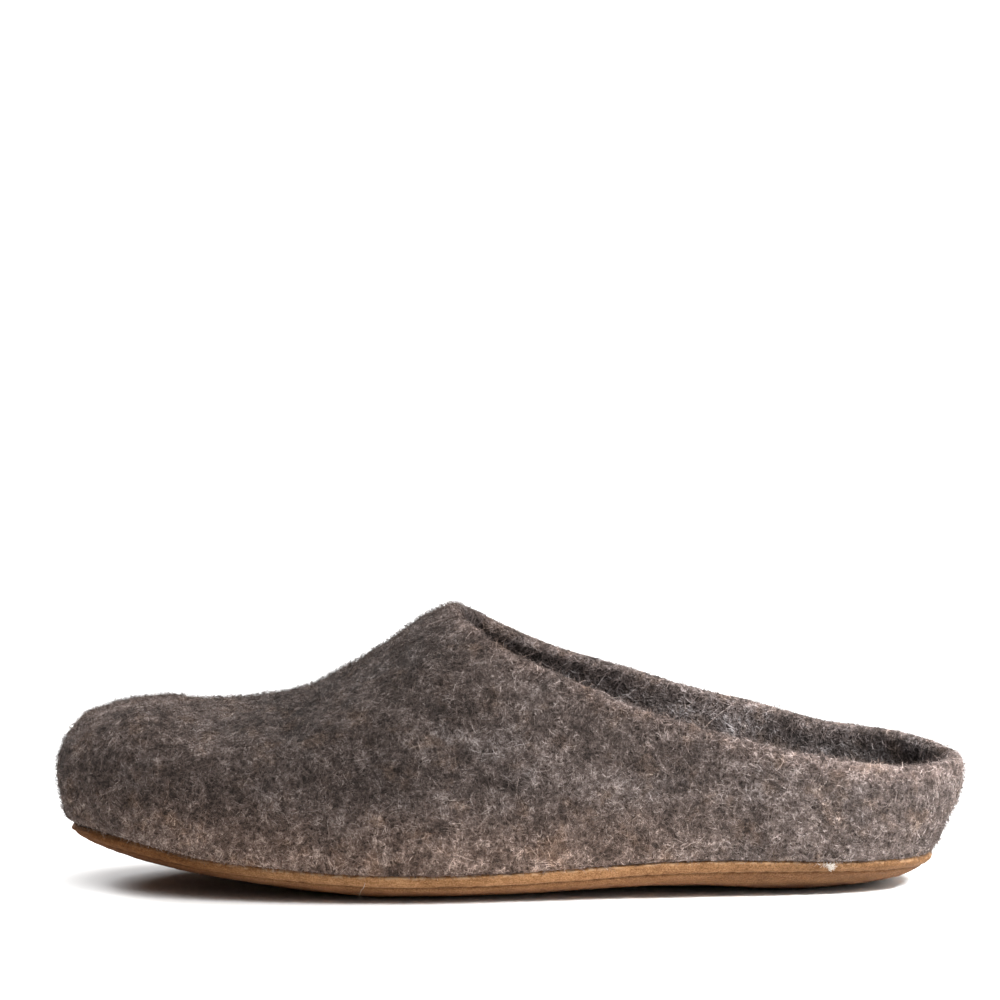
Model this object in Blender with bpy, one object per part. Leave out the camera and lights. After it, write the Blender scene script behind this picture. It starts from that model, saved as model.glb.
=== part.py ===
"""A left-foot felt slipper with a low back, made of three pieces: a felted wool upper, a leather sole whose
turned-up edge is sewn to the felt, and a thick felt insole.

Metres, +Z up. The toe points towards -X and the outer side of the foot towards -Y. The origin is on the
floor, under the middle of the slipper.
"""

import math
from collections import namedtuple

import bmesh
import bpy
import numpy as np

MM = 0.001

# Driving dimensions
LENGTH = 280 * MM  # toe tip to heel back, over the felt
BALL_WIDTH = 107 * MM  # over the felt, across the ball of the foot
INSTEP_HEIGHT = 87.5 * MM  # floor to the top of the instep, at the throat
FELT = 4.4 * MM  # thickness of the upper's wall
LEATHER = 2.6 * MM  # thickness of the sole
GAP = 0.3 * MM  # left between pieces that touch

# The upper is turned in under the foot, and the sole is sewn to that margin.
MARGIN = 12 * MM  # width of the felt turned in, from the leather's edge
SEAM = 3.4 * MM  # from the leather's edge to the sewn groove
GROOVE_WIDTH = 1.2 * MM
GROOVE_DEPTH = 0.7 * MM
INSOLE_LIP = 3.0 * MM  # insole lying over the turned-in margin
INSOLE_REACH = 9 * MM  # how far the insole runs up the wall, past the leather's edge

# Sections of the last, from toe to heel. A row's place is a percentage of LENGTH. Axis is the ridge's
# distance from the centre line towards the inner side of the foot, and outer and inner are the widths on
# either side of it, all as percentages of BALL_WIDTH. Under, widest, top and edge are the heights of the
# felt's underside, of the widest line, of the last's ridge and of the leather's edge, as percentages of
# INSTEP_HEIGHT. Square_under and square_over are exponents, 2 for an ellipse and more for a squarer curve.
Section = namedtuple(
    "Section", "place axis outer inner under widest top edge square_under square_over"
)
SECTIONS = [
    Section(0, 7.1, 0.0, 0.0, 39.0, 39.0, 39.0, 22.6, 2.8, 2.4),
    Section(1, 6.8, 15.0, 14.3, 23.0, 38.7, 51.6, 22.6, 2.8, 2.4),
    Section(2, 6.6, 21.0, 20.0, 20.4, 38.5, 57.4, 22.4, 2.8, 2.4),
    Section(6, 6.1, 33.5, 31.5, 15.6, 38.0, 62.3, 20.7, 3.1, 2.4),
    Section(11, 5.6, 41.5, 38.5, 11.8, 36.5, 64.4, 18.2, 3.8, 2.4),
    Section(17, 4.6, 47.0, 43.2, 9.1, 35.0, 63.2, 15.2, 4.8, 2.3),
    Section(25, 3.6, 51.0, 46.6, 5.8, 33.0, 66.6, 12.8, 5.0, 2.2),
    Section(34, 2.6, 52.8, 47.2, 3.1, 32.0, 79.1, 10.9, 5.2, 2.1),
    Section(43, 1.9, 51.8, 44.0, 3.0, 32.0, 98.0, 10.7, 5.4, 2.1),
    Section(54, 1.1, 47.0, 39.7, 3.9, 32.5, 108.0, 11.8, 5.2, 2.2),
    Section(68, 0.1, 41.5, 37.0, 5.4, 33.5, 113.0, 14.2, 4.4, 2.3),
    Section(80, -0.4, 38.7, 36.6, 2.7, 34.5, 111.0, 14.0, 3.0, 2.4),
    Section(90, -0.4, 34.0, 33.5, 4.8, 35.0, 97.0, 13.2, 2.7, 2.4),
    Section(96, -0.4, 22.8, 22.8, 13.0, 35.3, 72.0, 12.6, 2.5, 2.4),
    Section(98, -0.4, 16.2, 16.2, 22.5, 35.4, 60.0, 12.4, 2.5, 2.4),
    Section(100, -0.4, 0.0, 0.0, 35.3, 35.3, 35.3, 12.2, 2.4, 2.4),
]
WIDTH_COLUMNS = ("axis", "outer", "inner")
HEIGHT_COLUMNS = ("under", "widest", "top", "edge")

# The collar, from throat to heel: the height where the wall ends on either side of the foot, as a
# percentage of INSTEP_HEIGHT. Its round rim rises half a wall's thickness higher. At the throat itself
# the collar meets the ridge.
THROAT = 43
Collar = namedtuple("Collar", "place outer inner")
COLLAR = [
    Collar(49, 86.0, 86.5),
    Collar(55, 77.5, 78.2),
    Collar(62, 67.8, 71.3),
    Collar(70, 58.8, 63.0),
    Collar(78, 51.2, 56.0),
    Collar(86, 45.8, 49.5),
    Collar(94, 42.5, 47.0),
    Collar(100, 43.0, 43.0),
]

# Fineness of the faceted solids
AROUND = 60  # columns round the foot
BED_STEPS = 4  # from the keel line to the end of the turned-in margin
MARGIN_STEPS = 4  # from there to the leather's edge
LIP_STEPS = 3  # from there to the end of the insole's lip
WALL_STEPS = 17  # from there to the collar
WALL_SPREAD = 1.35  # above 1, the steps up the wall start short and get longer
RIM_SIDES = 4
PATH_SAMPLES = 160
KEEL = 0.8  # length of the line under the foot that the columns start from, as a share of LENGTH
KEEL_STRIP = 0.1  # how far beside that line they start, as a share of their way out to the widest line

Finish = namedtuple("Finish", "name colour roughness")
UPPER_FELT = Finish("wool_felt", (0.125, 0.108, 0.098, 1.0), 0.95)
INSOLE_FELT = Finish("wool_felt_insole", (0.115, 0.104, 0.1, 1.0), 0.95)
SUEDE = Finish("suede_leather", (0.32, 0.165, 0.065, 1.0), 0.9)


def curve_through(places, values):
    """Natural cubic spline through the given values, as a function of place."""
    places = np.asarray(places, float)
    values = np.asarray(values, float)
    step = np.diff(places)
    slope = np.diff(values) / step
    count = len(places)
    matrix = np.eye(count)
    right = np.zeros(count)
    for i in range(1, count - 1):
        matrix[i, i - 1 : i + 2] = step[i - 1], 2 * (step[i - 1] + step[i]), step[i]
        right[i] = 6 * (slope[i] - slope[i - 1])
    bend = np.linalg.solve(matrix, right)

    def evaluate(place):
        place = np.clip(place, places[0], places[-1])
        i = np.clip(np.searchsorted(places, place) - 1, 0, count - 2)
        before = place - places[i]
        after = places[i + 1] - place
        cubic = (bend[i] * after**3 + bend[i + 1] * before**3) / (6 * step[i])
        low = (values[i] / step[i] - bend[i] * step[i] / 6) * after
        high = (values[i + 1] / step[i] - bend[i + 1] * step[i] / 6) * before
        return cubic + low + high

    return evaluate


def turn_at(place):
    """Angle from toe (0) to heel (pi) of a share of the length. Widths and heights are even in it, so that
    both ends of the last come out round."""
    return np.arccos(np.clip(1 - 2 * np.asarray(place, float), -1, 1))


def section_curves():
    """One spline for each column of SECTIONS, in metres, over the angle from toe to heel."""
    turns = turn_at([row.place / 100 for row in SECTIONS])
    curves = {}
    for column in Section._fields[1:]:
        values = np.array([getattr(row, column) for row in SECTIONS])
        if column in WIDTH_COLUMNS:
            values = values / 100 * BALL_WIDTH
        elif column in HEIGHT_COLUMNS:
            values = values / 100 * INSTEP_HEIGHT
        curves[column] = curve_through(turns, values)
    return curves


LAST = section_curves()


def last_point(along, across, over):
    """Point of the last's surface. Its plan is a unit disc: along runs from -1 at the toe to 1 at the heel,
    and across is negative on the outer side. Each section is a curve of the form a^n + b^n = 1, its upper
    half where over is true and its lower half otherwise."""
    turn = np.arccos(np.clip(-along, -1, 1))
    reach = np.sqrt(np.clip(1 - along**2, 0, 1))
    share = np.divide(across, reach, out=np.zeros_like(across), where=reach > 1e-9)
    share = np.clip(share, -1, 1)
    half_width = np.where(across < 0, LAST["outer"](turn), LAST["inner"](turn))
    widest = LAST["widest"](turn)
    square = np.where(over, LAST["square_over"](turn), LAST["square_under"](turn))
    rise = np.where(over, LAST["top"](turn), LAST["under"](turn)) - widest
    bow = (1 - np.abs(share) ** square) ** (1 / square)
    x = along * LENGTH / 2
    y = LAST["axis"](turn) + half_width * share
    return np.stack([x, y, widest + rise * bow], axis=-1)


def collar_curves():
    """Splines of the collar's height on the outer and the inner side, over the share of the length."""
    throat_height = float(LAST["top"](turn_at(THROAT / 100)))
    places = [THROAT / 100] + [row.place / 100 for row in COLLAR]
    outer = [throat_height] + [row.outer / 100 * INSTEP_HEIGHT for row in COLLAR]
    inner = [throat_height] + [row.inner / 100 * INSTEP_HEIGHT for row in COLLAR]
    return curve_through(places, outer), curve_through(places, inner)


def heel_back(collar_height):
    """Share of the length where the ridge of the last comes down to the collar behind the heel."""
    low, high = COLLAR[-2].place / 100, 1.0
    for _ in range(40):
        middle = (low + high) / 2
        if LAST["top"](turn_at(middle)) > collar_height(middle):
            low = middle
        else:
            high = middle
    return low


def collar_line(turns):
    """Plan of the collar on the unit disc, a point for each column. A column that starts at the heel goes
    straight up, and those from the toe half fan in to the throat."""
    outer_height, inner_height = collar_curves()
    back = heel_back(outer_height)
    throat = THROAT / 100
    from_heel = (1 + np.cos(turns)) / 2
    spread = 1 / (back - throat)
    place = back - (back - throat) * (spread * from_heel - (spread - 1) * from_heel**2)
    on_outer_side = np.sin(turns) >= 0
    height = np.where(on_outer_side, outer_height(place), inner_height(place))
    turn = turn_at(place)
    widest = LAST["widest"](turn)
    square = LAST["square_over"](turn)
    lift = np.clip((height - widest) / (LAST["top"](turn) - widest), 0, 1)
    share = (1 - lift**square) ** (1 / square)
    along = 2 * place - 1
    across = share * np.sqrt(1 - along**2) * np.where(on_outer_side, -1, 1)
    return along, across


class Form:
    """The outer surface of the felt as columns that run from beside the keel line under the foot, out to the
    widest line and up to the collar. Positions on a column are lengths along it from its start."""

    def __init__(self):
        turns = np.arange(AROUND) * 2 * math.pi / AROUND
        rim_along, rim_across = -np.cos(turns), -np.sin(turns)
        collar_along, collar_across = collar_line(turns)
        fine = (np.linspace(0, 1, PATH_SAMPLES) ** 2)[:, None]
        out = 1 - (1 - KEEL_STRIP) * fine[::-1]
        keel_along = KEEL * rim_along
        below = last_point(keel_along + (rim_along - keel_along) * out, rim_across * out, False)
        above = last_point(
            rim_along + (collar_along - rim_along) * fine,
            rim_across + (collar_across - rim_across) * fine,
            True,
        )
        self.points = np.concatenate([below, above[1:]])
        self.normals = self._normals()
        steps = np.linalg.norm(np.diff(self.points, axis=0), axis=2)
        self.lengths = np.concatenate([np.zeros((1, AROUND)), np.cumsum(steps, axis=0)])
        self.collar = self.lengths[-1]
        self.edge = self._edge(below)

    def _normals(self):
        round_foot = np.roll(self.points, -1, axis=1) - np.roll(self.points, 1, axis=1)
        up_column = np.gradient(self.points, axis=0)
        normals = np.cross(round_foot, up_column)
        return normals / np.linalg.norm(normals, axis=2, keepdims=True)

    def _edge(self, below):
        """Position of the leather's edge on each column."""
        place = below[..., 0] / LENGTH + 0.5
        above_edge = below[..., 2] - LAST["edge"](turn_at(place))
        lengths = self.lengths[: len(below)]
        columns = range(AROUND)
        return np.array([np.interp(0, above_edge[:, i], lengths[:, i]) for i in columns])

    def ring(self, position, offset=0.0):
        """Ring of points at a position on each column, moved out from the felt's surface by offset."""
        position = np.broadcast_to(position, (AROUND,))
        moved = self.points + offset * self.normals
        return np.array(
            [
                [np.interp(position[i], self.lengths[:, i], moved[:, i, axis]) for axis in range(3)]
                for i in range(AROUND)
            ]
        )

    def collar_rim(self, angle):
        """Ring on the round rim of the collar, from the outer face at angle 0 to the inner face at pi."""
        normal = self.normals[-1]
        upward = self.points[-1] - self.points[-2]
        upward /= np.linalg.norm(upward, axis=1, keepdims=True)
        middle = self.points[-1] - normal * FELT / 2
        return middle + FELT / 2 * (normal * math.cos(angle) + upward * math.sin(angle))


def add_rings(mesh, rings, closed):
    """Skins rings of points with quads. A closed skin joins its last ring to its first. An open one starts
    and ends beside the keel line, and each end is zipped across that line."""
    loops = [[mesh.verts.new(point) for point in ring] for ring in rings]
    following = loops[1:] + loops[:1] if closed else loops[1:]
    for lower, upper in zip(loops, following):
        for i in range(AROUND):
            j = (i + 1) % AROUND
            mesh.faces.new((lower[i], lower[j], upper[j], upper[i]))
    if not closed:
        for loop in (loops[0], loops[-1]):
            for i in range(AROUND // 2):
                across = [loop[i], loop[i + 1], loop[-i - 1], loop[-i]]
                mesh.faces.new(list(dict.fromkeys(across)))


def add_object(name, rings, finish, closed=False):
    """Makes one closed solid from its rings, with its material."""
    mesh = bmesh.new()
    add_rings(mesh, rings, closed)
    bmesh.ops.recalc_face_normals(mesh, faces=mesh.faces)
    data = bpy.data.meshes.new(name)
    mesh.to_mesh(data)
    mesh.free()
    data.shade_smooth()
    data.set_sharp_from_angle(angle=math.radians(40))
    data.materials.append(make_material(finish))
    item = bpy.data.objects.new(name, data)
    bpy.context.scene.collection.objects.link(item)
    return item


def make_material(finish):
    material = bpy.data.materials.new(finish.name)
    material.use_nodes = True
    shader = material.node_tree.nodes["Principled BSDF"]
    shader.inputs["Base Color"].default_value = finish.colour
    shader.inputs["Roughness"].default_value = finish.roughness
    shader.inputs["Metallic"].default_value = 0.0
    return material


def steps_between(start, end, count):
    """Positions from start to end in equal steps, with both ends."""
    return [start + (end - start) * k / count for k in range(count + 1)]


def bed_positions(form):
    """Positions of the rings under the foot, from the keel line to the end of the turned-in margin."""
    return steps_between(0, form.edge - MARGIN, BED_STEPS)


def margin_positions(form):
    return steps_between(form.edge - MARGIN, form.edge, MARGIN_STEPS)


def lip_positions(form):
    return steps_between(form.edge, form.edge + INSOLE_REACH, LIP_STEPS)


def make_upper(form):
    """Hollow felt upper: the outer face from the turned-in margin up to the collar, the round rim, and the
    inner face back down. It is open at the collar, and underneath where the sole closes it."""
    lip = lip_positions(form)
    spread = (np.arange(WALL_STEPS + 1) / WALL_STEPS) ** WALL_SPREAD
    wall = [lip[-1] + (form.collar - lip[-1]) * share for share in spread]
    positions = margin_positions(form) + lip[1:] + wall[1:]
    outside = [form.ring(position) for position in positions]
    rim = [form.collar_rim(math.pi * k / RIM_SIDES) for k in range(1, RIM_SIDES)]
    inside = [form.ring(position, -FELT) for position in reversed(positions)]
    return add_object("upper", outside + rim + inside, UPPER_FELT, closed=True)


def make_sole(form):
    """Leather sole: a dish that follows the felt's underside, its edge turned up and grooved along the seam.
    Where its underside would reach below the floor it is pressed flat."""
    inner_positions = bed_positions(form) + margin_positions(form)[1:]
    inner_face = [form.ring(position, GAP) for position in inner_positions]
    groove_foot = form.edge - SEAM - GROOVE_WIDTH / 2
    outer_face = [
        form.ring(form.edge, GAP + LEATHER),
        form.ring(form.edge - SEAM + GROOVE_WIDTH / 2, GAP + LEATHER),
        form.ring(form.edge - SEAM, GAP + LEATHER - GROOVE_DEPTH),
        form.ring(groove_foot, GAP + LEATHER),
    ]
    below_groove = steps_between(groove_foot, form.edge - MARGIN, MARGIN_STEPS - 1)[1:]
    below_groove += reversed(bed_positions(form)[:-1])
    outer_face += [form.ring(position, GAP + LEATHER) for position in below_groove]
    for ring in outer_face:
        ring[:, 2] = np.maximum(ring[:, 2], 0)
    return add_object("sole", inner_face + outer_face, SUEDE)


def make_insole(form):
    """Felt insole: its middle fills the opening between the turned-in margins and rests on the sole, and its
    lip lies over the margin and thins out against the wall."""
    bed = bed_positions(form)
    margin = margin_positions(form)
    lip = lip_positions(form)
    plug = form.edge - MARGIN - GAP
    on_margin = -FELT - GAP
    top = on_margin - INSOLE_LIP
    rings = [form.ring(position) for position in bed[:-1] + [plug]]
    rings += [form.ring(position, on_margin) for position in [plug] + margin + lip[1:]]
    rings += [form.ring(position, top) for position in reversed(bed + margin[1:])]
    return add_object("insole", rings, INSOLE_FELT)


def main():
    for item in list(bpy.data.objects):
        bpy.data.objects.remove(item)
    form = Form()
    make_upper(form)
    make_sole(form)
    make_insole(form)


main()
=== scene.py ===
"""Looks of a left-foot felt slipper with a leather sole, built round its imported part.

Metres, +Z up. The toe points towards -X and the outer side of the foot towards -Y. The felt upper, the
felt insole and the leather sole repeat the part's own forms on a finer grid. The nap, the loose hairs, the
seam's thread, a white fleck on the leather's edge and one stray hair lie on those.
"""

import math
from collections import namedtuple

import bpy
import numpy as np
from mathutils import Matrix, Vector


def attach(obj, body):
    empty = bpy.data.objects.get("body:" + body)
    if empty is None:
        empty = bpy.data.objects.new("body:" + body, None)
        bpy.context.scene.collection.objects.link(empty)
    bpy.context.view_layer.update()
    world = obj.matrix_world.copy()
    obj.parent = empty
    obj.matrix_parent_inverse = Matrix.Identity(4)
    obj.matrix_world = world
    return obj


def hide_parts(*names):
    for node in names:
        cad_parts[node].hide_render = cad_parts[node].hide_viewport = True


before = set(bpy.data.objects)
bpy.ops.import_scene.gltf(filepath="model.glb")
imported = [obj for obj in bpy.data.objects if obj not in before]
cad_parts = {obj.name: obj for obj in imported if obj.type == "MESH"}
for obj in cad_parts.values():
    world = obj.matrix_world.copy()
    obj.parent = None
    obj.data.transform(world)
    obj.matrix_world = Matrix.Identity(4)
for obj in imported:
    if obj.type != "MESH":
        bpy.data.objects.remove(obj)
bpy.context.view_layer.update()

MM = 0.001
TINY = 1e-12  # keeps a division from dividing by 0

# The part's driving dimensions
LENGTH = 280 * MM
BALL_WIDTH = 107 * MM
INSTEP_HEIGHT = 87.5 * MM
FELT = 4.4 * MM
LEATHER = 2.6 * MM
GAP = 0.3 * MM
MARGIN = 12 * MM  # felt turned in under the foot
SEAM = 3.4 * MM  # from the leather's edge down to the seam
GROOVE_WIDTH = 1.2 * MM
GROOVE_DEPTH = 0.7 * MM
INSOLE_LIP = 3.0 * MM
INSOLE_REACH = 9 * MM

# Sections of the last, as the part has them. Place is a percentage of LENGTH, axis, outer and inner are
# percentages of BALL_WIDTH, and under, widest, top and edge are percentages of INSTEP_HEIGHT.
Section = namedtuple("Section", "place axis outer inner under widest top edge square_under square_over")
SECTIONS = [
    Section(0, 7.1, 0.0, 0.0, 39.0, 39.0, 39.0, 22.6, 2.8, 2.4),
    Section(1, 6.8, 15.0, 14.3, 23.0, 38.7, 51.6, 22.6, 2.8, 2.4),
    Section(2, 6.6, 21.0, 20.0, 20.4, 38.5, 57.4, 22.4, 2.8, 2.4),
    Section(6, 6.1, 33.5, 31.5, 15.6, 38.0, 62.3, 20.7, 3.1, 2.4),
    Section(11, 5.6, 41.5, 38.5, 11.8, 36.5, 64.4, 18.2, 3.8, 2.4),
    Section(17, 4.6, 47.0, 43.2, 9.1, 35.0, 63.2, 15.2, 4.8, 2.3),
    Section(25, 3.6, 51.0, 46.6, 5.8, 33.0, 66.6, 12.8, 5.0, 2.2),
    Section(34, 2.6, 52.8, 47.2, 3.1, 32.0, 79.1, 10.9, 5.2, 2.1),
    Section(43, 1.9, 51.8, 44.0, 3.0, 32.0, 98.0, 10.7, 5.4, 2.1),
    Section(54, 1.1, 47.0, 39.7, 3.9, 32.5, 108.0, 11.8, 5.2, 2.2),
    Section(68, 0.1, 41.5, 37.0, 5.4, 33.5, 113.0, 14.2, 4.4, 2.3),
    Section(80, -0.4, 38.7, 36.6, 2.7, 34.5, 111.0, 14.0, 3.0, 2.4),
    Section(90, -0.4, 34.0, 33.5, 4.8, 35.0, 97.0, 13.2, 2.7, 2.4),
    Section(96, -0.4, 22.8, 22.8, 13.0, 35.3, 72.0, 12.6, 2.5, 2.4),
    Section(98, -0.4, 16.2, 16.2, 22.5, 35.4, 60.0, 12.4, 2.5, 2.4),
    Section(100, -0.4, 0.0, 0.0, 35.3, 35.3, 35.3, 12.2, 2.4, 2.4),
]
WIDTH_COLUMNS = ("axis", "outer", "inner")
HEIGHT_COLUMNS = ("under", "widest", "top", "edge")

# The collar's height on either side of the foot, as a percentage of INSTEP_HEIGHT
THROAT = 43  # where the collar starts, as a percentage of LENGTH
Collar = namedtuple("Collar", "place outer inner")
COLLAR = [
    Collar(49, 86.0, 86.5),
    Collar(55, 77.5, 78.2),
    Collar(62, 67.8, 71.3),
    Collar(70, 58.8, 63.0),
    Collar(78, 51.2, 56.0),
    Collar(86, 45.8, 49.5),
    Collar(94, 42.5, 47.0),
    Collar(100, 43.0, 43.0),
]
HALVINGS = 40  # of the search for the collar's place at the heel
PATH_SAMPLES = 160
KEEL = 0.8  # length of the keel line under the foot, as a share of the plan
KEEL_STRIP = 0.1  # share of the way from the keel line to the widest line that the zipped strips cover

# Fineness of the meshes
AROUND = 480  # columns round the foot
MARGIN_RINGS = 12
WALL_RINGS = 100
WALL_SPREAD = 1.25  # above 1, the rings of the wall are closer together near the leather
RIM_RINGS = 9
RIM_EVENINGS = 3  # passes that even out the rim's directions
INSIDE_RINGS = 46
BED_RINGS = 44
HIDDEN_RINGS = 9  # on faces that lie against another piece
LEATHER_EDGE_RINGS = 5
LEATHER_SIDE_RINGS = 40
LEATHER_UNDER_RINGS = 30
STITCH_RINGS = 7
STITCH_SIDES = 8

# Places on the bake map: the grid's height, the feet of the zipped strips, and one strip's height
MAP_GRID = 0.95
MAP_STRIPS = (0.96, 0.98)
MAP_STRIP_HEIGHT = 0.015
RIBBON_MAP_ENDS = (0.1, 0.9)
RIBBON_MAP_SIDES = (0.15, 0.85)

# Creases of the felt, in millimetres on the shoe: from start to end, with depth below 0 for a trough and
# above 0 for a ridge, and the distance over which it dies away
Crease = namedtuple("Crease", "start end depth width")
CREASES = [
    Crease((32, -50, 55), (71, -44, 33), -0.9, 9),
    Crease((58, -46, 50), (95, -38, 35), 0.5, 8),
    Crease((-92, -40, 36), (-74, -12, 57), -0.6, 9),
    Crease((-60, -46, 42), (-44, -20, 66), 0.5, 10),
    Crease((-80, 42, 36), (-66, 16, 58), -0.7, 9),
    Crease((28, 46, 52), (70, 42, 34), -0.8, 9),
    Crease((60, 42, 48), (94, 36, 36), 0.5, 8),
    Crease((134, -20, 24), (134, 18, 24), -0.5, 8),
    Crease((-132, -24, 50), (-132, 20, 50), -1.0, 9),
    Crease((-92, -24, 62), (-92, 20, 62), -0.8, 11),
    Crease((-31, -22, 84), (-31, 22, 84), -1.0, 13),
]

# Lumps of the felt and the leather: their height, about how wide they are, and each lot's seed
Lumps = namedtuple("Lumps", "height width seed")
UPPER_LUMPS = [Lumps(0.42 * MM, 34 * MM, 11), Lumps(0.2 * MM, 12 * MM, 12), Lumps(0.1 * MM, 5 * MM, 13)]
INSOLE_LUMPS = [Lumps(0.22 * MM, 16 * MM, 21), Lumps(0.12 * MM, 6 * MM, 22)]
RAGGED_EDGE = [Lumps(0.05 * MM, 9 * MM, 31), Lumps(0.09 * MM, 3.2 * MM, 32)]
LEATHER_LUMPS = [Lumps(0.05 * MM, 11 * MM, 33), Lumps(0.04 * MM, 3 * MM, 34)]
RIM_HEIGHT = 9 * MM
RIM_CALM = 0.75  # share of the felt's lumps that the collar's rim lacks
FREE_OVER_LEATHER = (0.2 * MM, 5 * MM)  # heights over the leather's edge between which the relief grows
FREE_OVER_INSOLE = (INSOLE_REACH, INSOLE_REACH + 8 * MM)

# The felt swells over the leather's edge, by a share that changes along the foot (x in millimetres).
SWELL = 2.6 * MM
SWELL_SHARES = [(-140, 0.3), (-125, 0.4), (-95, 1.0), (105, 1.0), (130, 0.5), (140, 0.4)]
SWELL_START = (0.1 * MM, 0.9 * MM)
SWELL_HEIGHT = 4.5 * MM

# Hollows trodden into the insole, at a place along the foot, and the distances over which each dies away
Hollow = namedtuple("Hollow", "x depth along across")
HOLLOWS = [Hollow(92 * MM, 0.7 * MM, 24 * MM, 18 * MM), Hollow(-42 * MM, 0.5 * MM, 34 * MM, 30 * MM)]
BED_BORDER = 0.25  # share of the bed's rings over which its relief grows from the lip
INSOLE_TOE_ROUND = 3.0 * MM  # the top starts this much further in at the toe, where it would fold

# The leather's edge: worn, frayed, and lower and thinner at the toe's tip
EDGE_WEAR = 0.45 * MM
EDGE_WEAR_REACH = 0.35 * MM
EDGE_TUCK = 0.2 * MM
EDGE_ROUND = 0.15 * MM
FRAY_REACH = 1.2 * MM
TOE_WEAR = 1.3 * MM
TOE_WEAR_REACH = 2.0 * MM
TOE_DROP = 2.8 * MM
TOE_TIP = 14 * MM
SIDE_TOP = 0.12 * MM  # the finely meshed side of the leather lies between these depths below its edge
SIDE_BOTTOM = 2.2 * SEAM

# The seam: its groove, the pillows that the stitches draw in the leather, and the thread
GROOVE_REACH = GROOVE_WIDTH / 2.6
PILLOW = 0.12 * MM
PINCH_SHARPNESS = 8
STITCH = 5.2 * MM  # pitch of the stitches
STITCH_COVER = 0.86  # share of the pitch that shows as thread
THREAD_RADIUS = 0.3 * MM
THREAD_SINK = GROOVE_DEPTH * 0.8
THREAD_DIP = 0.5 * MM  # how far a stitch's ends go into their holes

# Zones of the felt's tints: where each begins and ends, along the foot (x), up (z) or over the leather
# The warm band over the leather is painted bounce light from the floor
WARM_BAND_HEIGHT = 26 * MM
WARM_BAND_HEEL = (10 * MM, 90 * MM)
WARM_BAND_HEEL_LOSS = 0.92
WARM_BAND_TOE = (-125 * MM, -85 * MM)
# The toe's top gets painted light
TOE_TOP_END = (-100 * MM, -80 * MM)
TOE_TOP_HEIGHT = (38 * MM, 52 * MM)
# The vamp and the toe's front get painted shade, where they turn away from the light
VAMP_START = (-94 * MM, -68 * MM)
VAMP_END = (-35 * MM, 5 * MM)
VAMP_HEIGHT = (26 * MM, 42 * MM)
TOE_FRONT_END = (-128 * MM, -104 * MM)
TOE_FRONT_HEIGHT = (38 * MM, 50 * MM)
TOE_FRONT_SHARE = 0.6
# The room inside at the throat and at the heel gets painted shade
DIM_ROOM_END = (-8 * MM, 22 * MM)
DIM_HEEL_START = (88 * MM, 108 * MM)

CAMERA_PLACE = (-0.0034, -2.0, 0.281)
CAMERA_AIM = (-0.0034, 0.0, 0.1184)
FRAME_WIDTH = 0.3085  # width of the picture at the aim


def smoothstep(low, high, value):
    """0 up to low, 1 from high, and 3t^2 - 2t^3 between."""
    t = np.clip((value - low) / (high - low), 0, 1)
    return t * t * (3 - 2 * t)


def fade(distance, reach):
    """exp(-(distance / reach)^2), which is 1 at no distance and dies away over the reach."""
    return np.exp(-((distance / reach) ** 2))


def unit(vectors):
    """Vectors scaled to length 1."""
    return vectors / np.maximum(np.linalg.norm(vectors, axis=-1, keepdims=True), TINY)


def ripple(points, wavelength, seed, waves=28):
    """Smooth random relief with a spread of about 1: a sum of cosine waves in random directions, with
    wavelengths from 0.7 to 1.4 times the given one."""
    rng = np.random.default_rng(seed)
    directions = unit(rng.normal(size=(waves, 3)))
    pace = 2 * math.pi / (wavelength * rng.uniform(0.7, 1.4, waves))
    phase = rng.uniform(0, 2 * math.pi, waves)
    total = np.zeros(points.shape[:-1])
    for direction, speed, start in zip(directions, pace, phase):
        total += np.cos(points @ direction * speed + start)
    return total / math.sqrt(waves / 2)


def lumpy(points, lots):
    """Sum of several lots of lumps, each a ripple times its height."""
    return sum(lot.height * ripple(points, lot.width, lot.seed) for lot in lots)


def curve_through(places, values):
    """Natural cubic spline through the given values, as a function of place."""
    places = np.asarray(places, float)
    values = np.asarray(values, float)
    step = np.diff(places)
    slope = np.diff(values) / step
    count = len(places)
    matrix = np.eye(count)
    right = np.zeros(count)
    for i in range(1, count - 1):
        matrix[i, i - 1 : i + 2] = step[i - 1], 2 * (step[i - 1] + step[i]), step[i]
        right[i] = 6 * (slope[i] - slope[i - 1])
    bend = np.linalg.solve(matrix, right)

    def evaluate(place):
        place = np.clip(place, places[0], places[-1])
        i = np.clip(np.searchsorted(places, place) - 1, 0, count - 2)
        before = place - places[i]
        after = places[i + 1] - place
        cubic = (bend[i] * after**3 + bend[i + 1] * before**3) / (6 * step[i])
        low = (values[i] / step[i] - bend[i] * step[i] / 6) * after
        high = (values[i + 1] / step[i] - bend[i + 1] * step[i] / 6) * before
        return cubic + low + high

    return evaluate


def turn_at(place):
    """Angle from toe (0) to heel (pi) of a share of the length."""
    return np.arccos(np.clip(1 - 2 * np.asarray(place, float), -1, 1))


def section_curves():
    """One spline for each column of SECTIONS, in metres, over the angle from toe to heel."""
    turns = turn_at([row.place / 100 for row in SECTIONS])
    curves = {}
    for column in Section._fields[1:]:
        values = np.array([getattr(row, column) for row in SECTIONS])
        if column in WIDTH_COLUMNS:
            values = values / 100 * BALL_WIDTH
        elif column in HEIGHT_COLUMNS:
            values = values / 100 * INSTEP_HEIGHT
        curves[column] = curve_through(turns, values)
    return curves


LAST = section_curves()


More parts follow.
